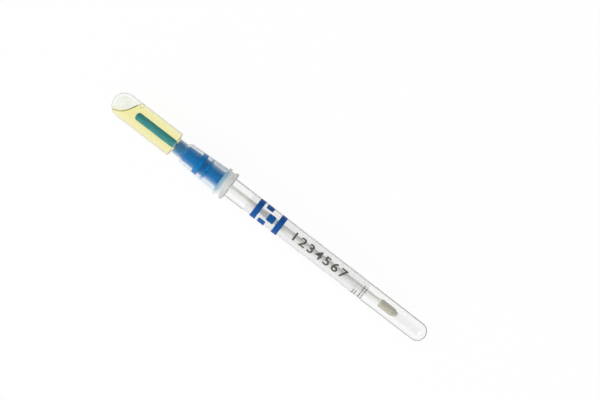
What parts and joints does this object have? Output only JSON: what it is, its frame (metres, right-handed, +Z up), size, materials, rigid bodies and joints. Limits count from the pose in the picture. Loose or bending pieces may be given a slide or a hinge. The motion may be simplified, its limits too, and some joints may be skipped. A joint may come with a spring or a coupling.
{
  "type": "specimen swab tube",
  "caption": "Round-bottomed clear tube with a fibre swab inside, closed by a push-on soft bulb that holds broth behind a snap valve.",
  "frame": {"origin": "under the middle of the length, on the surface that the tube lies on", "axes": "+X along the tube axis from the bulb towards the round bottom, +Z up; the axis is level"},
  "size_m": [0.1782, 0.0138, 0.0138],
  "materials": {
    "bulb_plastic": "soft translucent polyethylene, gloss moulded",
    "valve_plastic": "blue moulded polypropylene, satin",
    "broth_liquid": "clear pale yellow liquid",
    "shaft_plastic": "extruded translucent stick",
    "bud_fibre": "wound fibre",
    "tube_plastic": "crystal-clear moulded plastic",
    "label_film": "clear self-adhesive film"
  },
  "bodies": {
    "tube": {"tube": "tube_plastic", "label": "label_film"},
    "swab": {"bulb": "bulb_plastic", "snap_valve": "valve_plastic", "broth": "broth_liquid", "swab_shaft": "shaft_plastic", "swab_bud": "bud_fibre"}
  },
  "joints": [
    {"name": "swab_pull", "type": "slide", "parent": "tube", "child": "swab", "axis": [-1, 0, 0], "range_m": [0, 0.105]}
  ]
}
